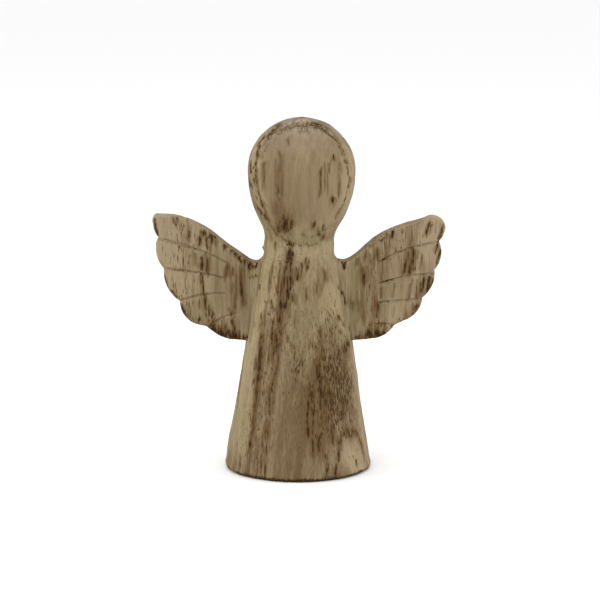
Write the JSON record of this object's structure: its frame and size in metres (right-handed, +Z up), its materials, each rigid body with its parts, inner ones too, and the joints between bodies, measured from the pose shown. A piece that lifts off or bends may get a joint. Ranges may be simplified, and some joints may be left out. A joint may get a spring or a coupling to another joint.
{
  "type": "carved wooden angel figurine",
  "caption": "Hand-carved wooden angel ornament with a blank planed face, a flared gown and wings let into its flanks; stands on a shelf or table.",
  "frame": {"origin": "centre of the round hem face that the figure stands on", "axes": "+Z up through the head, -Y the way the face looks, +X towards the wing on the right of someone facing it"},
  "size_m": [0.15, 0.0746, 0.182],
  "materials": {
    "figure_wood": "singed, brushed and left matt",
    "wing_wood": "singed, brushed and left matt",
    "dowel_wood": "plain turned dowel"
  },
  "bodies": {
    "root": {"figure": "figure_wood", "left_wing": "wing_wood", "right_wing": "wing_wood", "left_upper_dowel": "dowel_wood", "left_lower_dowel": "dowel_wood", "right_upper_dowel": "dowel_wood", "right_lower_dowel": "dowel_wood"}
  },
  "joints": []
}
